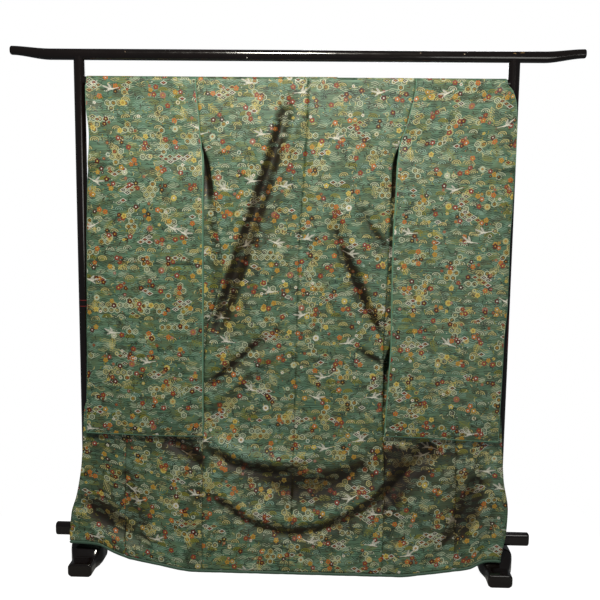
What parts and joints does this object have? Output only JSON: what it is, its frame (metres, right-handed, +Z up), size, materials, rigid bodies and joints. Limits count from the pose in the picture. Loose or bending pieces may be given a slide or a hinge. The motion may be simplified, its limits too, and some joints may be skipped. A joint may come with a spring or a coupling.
{
  "type": "furisode kimono on a kimono stand",
  "caption": "Long-sleeved furisode kimono of green figured silk, hung by its sleeves with its back to the front on a black lacquered wooden stand, its hem just touching the floor.",
  "frame": {"origin": "on the floor, midway between the two feet of the stand, the middle of the bottom of the bounding box", "axes": "+X along the bars to the right of someone who looks at the garment's back, +Y away from them, to the garment's front, +Z up"},
  "size_m": [1.7612, 0.249, 1.6652],
  "materials": {
    "silk": "figured silk, teal green ground with dense small cranes, plum blossoms, tortoiseshell and lozenge groups in coloured and pale yarn, soft sheen",
    "lining": "plain teal silk lining, rolled out at the hem",
    "lacquer": "black lacquer over wood, glossy, faint red-brown tint, small worn spots"
  },
  "bodies": {
    "root": {"back_left": "silk", "back_right": "silk", "front_left": "silk", "front_right": "silk", "okumi_left": "silk", "okumi_right": "silk", "sleeve_left": "silk", "sleeve_right": "silk", "collar": "silk", "hem_roll": "lining", "bar_top": "lacquer", "bar_hanging": "lacquer", "bar_low": "lacquer", "post_left": "lacquer", "post_right": "lacquer", "foot_left": "lacquer", "foot_right": "lacquer"}
  },
  "joints": []
}
